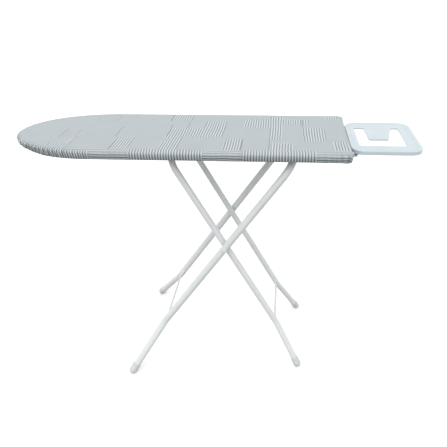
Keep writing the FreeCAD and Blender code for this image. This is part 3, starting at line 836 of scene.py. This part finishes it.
def zincPlate():
    # bright zinc plate, slightly brushed and clouded by the bath
    material, tree, shader = startMaterial("brightZinc", "#b4b8bc", 0.32, Metallic=1.0)
    here = addNode(tree, "ShaderNodeTexCoord").outputs["Object"]
    stretched = addNode(tree, "ShaderNodeMapping", {"Vector": here, "Scale": (60.0, 60.0, 900.0)})
    lines = addNode(tree, "ShaderNodeTexNoise", {
        "Vector": stretched.outputs[0], "Scale": 3.0, "Detail": 3.0})
    cloud = addNode(tree, "ShaderNodeTexNoise", {"Vector": here, "Scale": 90.0, "Detail": 3.0})
    tone = addNode(tree, "ShaderNodeMix", {
        0: cloud.outputs[0], 6: toLinear("#9fa4a8"), 7: toLinear("#c9ccc8")}, data_type="RGBA")
    tree.links.new(tone.outputs[2], shader.inputs["Base Color"])
    rough = addNode(tree, "ShaderNodeMapRange", {0: lines.outputs[0], 3: 0.24, 4: 0.46})
    tree.links.new(rough.outputs[0], shader.inputs["Roughness"])
    bump = addNode(tree, "ShaderNodeBump", {
        "Strength": 0.15, "Distance": 0.0002, "Height": lines.outputs[0]})
    tree.links.new(bump.outputs[0], shader.inputs["Normal"])
    return material


def mouldedPlastic(name, colour, roughness, grain):
    # injection-moulded plastic with the fine spark grain of its tool
    material, tree, shader = startMaterial(name, colour, roughness, Specular_IOR_Level=0.45)
    here = addNode(tree, "ShaderNodeTexCoord").outputs["Object"]
    spark = addNode(tree, "ShaderNodeTexNoise", {"Vector": here, "Scale": grain, "Detail": 4.0})
    broad = addNode(tree, "ShaderNodeTexNoise", {"Vector": here, "Scale": 30.0, "Detail": 2.0})
    level = addNode(tree, "ShaderNodeMapRange", {0: broad.outputs[0], 1: 0.3, 2: 0.7, 3: 0.93, 4: 1.03})
    tone = addNode(tree, "ShaderNodeHueSaturation", {"Color": toLinear(colour), "Value": level.outputs[0]})
    tree.links.new(tone.outputs[0], shader.inputs["Base Color"])
    rough = addNode(tree, "ShaderNodeMapRange", {
        0: spark.outputs[0], 3: roughness - 0.06, 4: roughness + 0.08})
    tree.links.new(rough.outputs[0], shader.inputs["Roughness"])
    bump = addNode(tree, "ShaderNodeBump", {
        "Strength": 0.25, "Distance": 0.0003, "Height": spark.outputs[0]})
    tree.links.new(bump.outputs[0], shader.inputs["Normal"])
    return material


finishes = {
    "leg_white": powderCoat("legPowderCoat", "#e3e6e7", 0.30),
    "rest_white": powderCoat("restPowderCoat", "#c8d5db", 0.34, 0.05),
    "panel_steel": powderCoat("panelPaint", "#c9ccce", 0.42),
    "zinc_steel": zincPlate(),
    "foot_plastic": mouldedPlastic("footPlastic", "#d6d9d9", 0.5, 900.0),
    "nylon": mouldedPlastic("mouldedNylon", "#aeb3b6", 0.48, 700.0),
}
for part in frame["record"]["subparts"]:
    node = cadNodes[part["node"]]
    if part["material_slot"] in finishes:
        node.data.materials.clear()
        node.data.materials.append(finishes[part["material_slot"]])
print("finishes set")


# vent rims, screws and rivets under the board
def ringTree(name, material):
    # a rolled wire ring at every point
    tree, given = startShape(name, [("Ring Radius", "Float"), ("Wire Radius", "Float")])
    dots = addNode(tree, "GeometryNodeMeshToPoints", {0: given["Geometry"]})
    ring = addNode(tree, "GeometryNodeCurvePrimitiveCircle", {
        "Resolution": 28, "Radius": given["Ring Radius"]})
    wire = addNode(tree, "GeometryNodeCurvePrimitiveCircle", {
        "Resolution": 6, "Radius": given["Wire Radius"]})
    rolled = addNode(tree, "GeometryNodeCurveToMesh", {
        "Curve": ring.outputs[0], "Profile Curve": wire.outputs[0]})
    rings = addNode(tree, "GeometryNodeInstanceOnPoints", {
        "Points": dots.outputs[0], "Instance": rolled.outputs[0]})
    endShape(tree, rings.outputs[0], material)
    return tree


def fastenerTree(name, material):
    # one screw or rivet at every point, each turned its own way
    tree, given = startShape(name, [("Fastener", "Object"), ("Seed", "Int")])
    dots = addNode(tree, "GeometryNodeMeshToPoints", {0: given["Geometry"]})
    shape = addNode(tree, "GeometryNodeObjectInfo", {"Object": given["Fastener"]})
    turn = addNode(tree, "FunctionNodeRandomValue", {"Max": (0, 0, 2 * math.pi), "Seed": given["Seed"]},
                   data_type="FLOAT_VECTOR")
    placed = addNode(tree, "GeometryNodeInstanceOnPoints", {
        "Points": dots.outputs[0], "Instance": shape.outputs["Geometry"], "Rotation": turn.outputs[0]})
    endShape(tree, placed.outputs[0], material)
    return tree


ventSizes = {"radius": 0.013, "rimWire": 0.00045, "sameCentre": 0.002, "fewestFaces": 12}


def ventCentres():
    # each hole's wall faces its own centre, one radius away
    groups = []
    for face in cadNodes["top_panel"].data.polygons:
        if abs(face.normal.z) < 0.1:
            guess = face.center + face.normal * ventSizes["radius"]
            for group in groups:
                if (group[0] - guess).length < ventSizes["sameCentre"]:
                    group.append(guess)
                    break
            else:
                groups.append([guess])
    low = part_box("top_panel")[0].z
    whole = [group for group in groups if len(group) >= ventSizes["fewestFaces"]]
    found = [sum(group, Vector()) / len(group) for group in whole]
    return [Vector((p.x, p.y, low - ventSizes["rimWire"])) for p in found]


ventRims = meshPath("ventRims", [([p], False) for p in ventCentres()])
print("vents:", len(ventRims.data.vertices))
applyShape(ventRims, ringTree("rimTree", finishes["panel_steel"]), {
    "Ring Radius": ventSizes["radius"] + ventSizes["rimWire"], "Wire Radius": ventSizes["rimWire"]})
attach(ventRims, "board")

screwSizes = {
    "head": 0.004,
    "headHeight": 0.0025,
    "doming": 0.6,
    "shank": 0.0019,
    "thread": 0.0005,
    "pitch": 0.0012,
    "recess": 0.0015,
    "recessArm": 0.0024,
    "recessHalfWidth": 0.00052,
    "sides": 40,
}
rivetSizes = {"head": 0.0048, "headHeight": 0.002, "shank": 0.00245, "sides": 28}


def turnedMesh(name, rings, sides, sink=None):
    # a closed turned shape from (radius, height) rings; sink lowers points of the face, as for a recess
    points, faces = [], []
    for radius, z in rings:
        for i in range(sides):
            a = 2 * math.pi * i / sides
            x, y = radius * math.cos(a), radius * math.sin(a)
            points.append((x, y, z + (sink(x, y, z) if sink else 0.0)))
    for j in range(len(rings) - 1):
        for i in range(sides):
            k = (i + 1) % sides
            faces.append((j * sides + i, j * sides + k, (j + 1) * sides + k, (j + 1) * sides + i))
    faces.append(tuple(range(sides))[::-1])
    faces.append(tuple((len(rings) - 1) * sides + i for i in range(sides)))
    obj = meshObject(name, points, faces)
    mesh = bmesh.new()
    mesh.from_mesh(obj.data)
    bmesh.ops.recalc_face_normals(mesh, faces=mesh.faces)
    mesh.to_mesh(obj.data)
    mesh.free()
    smoothFaces(obj, 35)
    return obj


def makeScrew(length):
    # pan head with a cross recess below the seat, thread above it
    s = screwSizes
    rings = [(r / 1000, -s["headHeight"] * math.sqrt(1 - s["doming"] * (r / 1000 / s["head"]) ** 2))
             for r in (0.1, 0.5, 0.9, 1.3, 1.7, 2.1, 2.5, 2.9, 3.3, 3.7, 4.0)]
    rings += [(s["head"], -0.0004), (s["head"] - 0.0003, 0.0)]
    turns = int(length / s["pitch"])
    for i in range(turns):
        rings += [(s["shank"], length * i / turns), (s["shank"] - s["thread"], length * (i + 0.5) / turns)]
    rings.append((s["shank"] * 0.5, length))

    def recess(x, y, z):
        away = math.hypot(x, y)
        inCross = min(abs(x), abs(y)) < s["recessHalfWidth"] and away < s["recessArm"]
        return s["recess"] * (1 - away / 0.0034) if inCross and z < -0.001 else 0.0

    return turnedMesh("screwShape", rings, s["sides"], recess)


def makeRivet(length):
    # low domed head below the seat, plain shank above it
    s = rivetSizes
    rings = [(s["head"] * math.sin(a), -s["headHeight"] * math.cos(a) ** 0.7)
             for a in [math.pi / 2 * i / 8 for i in range(8)] if a > 0]
    rings = [(0.0002, -s["headHeight"])] + rings
    rings += [(s["head"], -0.0002), (s["head"] - 0.0002, 0.0), (s["shank"], 0.0), (s["shank"], length)]
    return turnedMesh("rivetShape", rings, s["sides"])


def setFasteners(name, nodeName, headHeight, build, body, slotName):
    places = islandBoxes(nodeName)
    length = places[0][1].z - places[0][0].z - headHeight - 0.0002
    shape = build(length)
    spots = [Vector(((low.x + high.x) / 2, (low.y + high.y) / 2, low.z + headHeight - 0.0001))
             for low, high in places]
    made = meshPath(name, [([p], False) for p in spots])
    applyShape(made, fastenerTree(name + "Tree", finishes[slotName]), {"Fastener": shape, "Seed": 7})
    bpy.data.objects.remove(shape)
    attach(made, body)
    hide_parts(nodeName)
    return made


setFasteners("hingeScrewSet", "hinge_screws", screwSizes["headHeight"], makeScrew, "board", "zinc_steel")
setFasteners("armScrewSet", "arm_screws", screwSizes["headHeight"], makeScrew, "board", "zinc_steel")
setFasteners("trackRivetSet", "track_rivets", rivetSizes["headHeight"], makeRivet, "board", "zinc_steel")
print("fasteners made")


# welds where the cross rods meet the legs
weldSizes = {
    "rodRadius": 0.0035,
    "spacing": 0.0016,
    "ripple": (0.0032, 0.0030, 0.0030),
    "side": 0.0026,
    "into": 0.0011,
    "fromBend": 0.001,
    "length": 0.020,
}


def weldRuns(rodNode, hinge, footNode):
    # two runs along each turned-up end of the rod, in the grooves between it and the leg
    low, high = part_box(rodNode)
    footLow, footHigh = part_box(footNode)
    foot = (footLow + footHigh) / 2
    down = Vector((foot.x - hinge[0], 0, foot.z - hinge[2])).normalized()
    aside = Vector((-down.z, 0, down.x))
    radius = weldSizes["rodRadius"]
    corner = Vector((high.x if down.x < 0 else low.x, 0, high.z)) - Vector(hinge)
    start = corner.dot(down) + radius * (abs(down.x) + abs(down.z)) + weldSizes["fromBend"]
    runs = []
    for side in (-1, 1):
        for edge in (-1, 1):
            base = Vector((hinge[0], side * (high.y - weldSizes["into"]), hinge[2]))
            base += aside * edge * weldSizes["side"]
            runs.append([base + down * (start + weldSizes["length"] * i / 4) for i in range(5)])
    return runs


jointPlaces = {joint["name"]: joint["pos_m"] for joint in frame["record"]["behaviour"]["joints"]}
weldTree = beadTree("weldTree", finishes["leg_white"])
for name, rod, top, foot, body in (
        ("outerWelds", "outer_cross_rod", jointPlaces["outer_leg_fold"], "outer_foot_near", "outer_legs"),
        ("innerWelds", "inner_cross_rod", jointPlaces["carriage_level"], "inner_foot_near", "inner_legs")):
    welds = meshPath(name, [(run, False) for run in weldRuns(rod, top, foot)])
    applyShape(welds, weldTree, {"Spacing": weldSizes["spacing"], "Size": weldSizes["ripple"]})
    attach(welds, body)


# pressed bead round the iron rest, ribs on the lever grip
restBeadSizes = {
    "inset": 0.014,
    "corner": 0.030,
    "halfWidth": 0.0026,
    "height": 0.0010,
    "lift": 0.00002,
    "sides": 8,
}


def makeRestBead(material):
    s = restBeadSizes
    low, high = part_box("iron_rest")
    corner = s["corner"]
    x0, x1 = low.x + s["inset"], high.x - s["inset"]
    y0, y1 = low.y + s["inset"], high.y - s["inset"]
    path = []
    for cx, cy, first in ((x1 - corner, y0 + corner, -90), (x1 - corner, y1 - corner, 0),
                          (x0 + corner, y1 - corner, 90), (x0 + corner, y0 + corner, 180)):
        for i in range(13):
            a = math.radians(first + 90 * i / 12)
            out = Vector((math.cos(a), math.sin(a), 0))
            path.append((Vector((cx, cy, 0)) + out * corner, out))
    angles = [math.pi * i / s["sides"] for i in range(s["sides"] + 1)]
    section = [(s["halfWidth"] * math.cos(a), s["height"] * math.sin(a)) for a in angles]
    seat = high.z + s["lift"]
    points = [spot + out * across + Vector((0, 0, seat + up))
              for spot, out in path for across, up in section]
    size = len(section)
    faces = []
    for j in range(len(path)):
        k = (j + 1) % len(path)
        for i in range(size):
            n = (i + 1) % size
            faces.append([j * size + i, k * size + i, k * size + n, j * size + n])
    obj = meshObject("restBead", points, faces, material)
    mesh = bmesh.new()
    mesh.from_mesh(obj.data)
    bmesh.ops.recalc_face_normals(mesh, faces=mesh.faces)
    mesh.to_mesh(obj.data)
    mesh.free()
    smoothFaces(obj, 60)
    return obj


restBead = makeRestBead(finishes["rest_white"])
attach(restBead, "board")

ribSizes = {"count": 10, "first": 0.006, "spacing": 0.0036, "rib": (0.0016, 0.025, 0.0014)}
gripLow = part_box("lever_grip")[0]
gripRow = [Vector((gripLow.x + ribSizes["first"] + ribSizes["spacing"] * i, 0, gripLow.z))
           for i in range(ribSizes["count"])]
gripRibs = meshPath("gripRibs", [(gripRow, False)])
applyShape(gripRibs, beadTree("ribTree", finishes["nylon"]), {
    "Spacing": ribSizes["spacing"], "Size": ribSizes["rib"]})
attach(gripRibs, "release_lever")
print("details made")


# floor and light
studio = {
    "floor": 40.0,
    "floorColour": "#fbfbfb",
    "floorGlow": 0.16,
    "skyAbove": "#ffffff",
    "skyBelow": "#6a6966",
    "skyDarkAt": -0.42,
    "skyStrength": 1.0,
    "sunFrom": (-0.3, -0.85, 1.0),
    "sunStrength": 0.72,
    "sunSpread": 50,
}


def makeStudio():
    half = studio["floor"]
    corners = [(-half, -half, 0), (half, -half, 0), (half, half, 0), (-half, half, 0)]
    floor = meshObject("studioFloor", corners, [(0, 1, 2, 3)])
    material, _, shader = startMaterial("paleFloor", studio["floorColour"], 0.9, Specular_IOR_Level=0.1,
                                        Emission_Strength=studio["floorGlow"])
    shader.inputs["Emission Color"].default_value = toLinear(studio["floorColour"])
    floor.data.materials.append(material)
    # the floor shows and catches shadows, and throws little light back up at the object
    floor.visible_diffuse = False
    world = bpy.data.worlds.new("studioLight")
    world.use_nodes = True
    scene.world = world
    sky = world.node_tree
    aim = addNode(sky, "ShaderNodeTexCoord").outputs["Generated"]
    height = addNode(sky, "ShaderNodeSeparateXYZ", {0: aim}).outputs["Z"]
    rise = addNode(sky, "ShaderNodeMapRange", {0: height, 1: studio["skyDarkAt"], 2: 0.0},
                   interpolation_type="SMOOTHSTEP")
    glow = addNode(sky, "ShaderNodeMix", {0: rise.outputs[0], 6: toLinear(studio["skyBelow"]),
                   7: toLinear(studio["skyAbove"])}, data_type="RGBA")
    back = sky.nodes["Background"]
    sky.links.new(glow.outputs[2], back.inputs[0])
    back.inputs[1].default_value = studio["skyStrength"]
    light = bpy.data.lights.new("softKey", "SUN")
    light.energy = studio["sunStrength"]
    light.angle = math.radians(studio["sunSpread"])
    lamp = bpy.data.objects.new("softKey", light)
    lamp.rotation_euler = Vector(studio["sunFrom"]).to_track_quat("Z", "Y").to_euler()
    scene.collection.objects.link(lamp)
    scene.view_settings.view_transform = "Standard"


makeStudio()
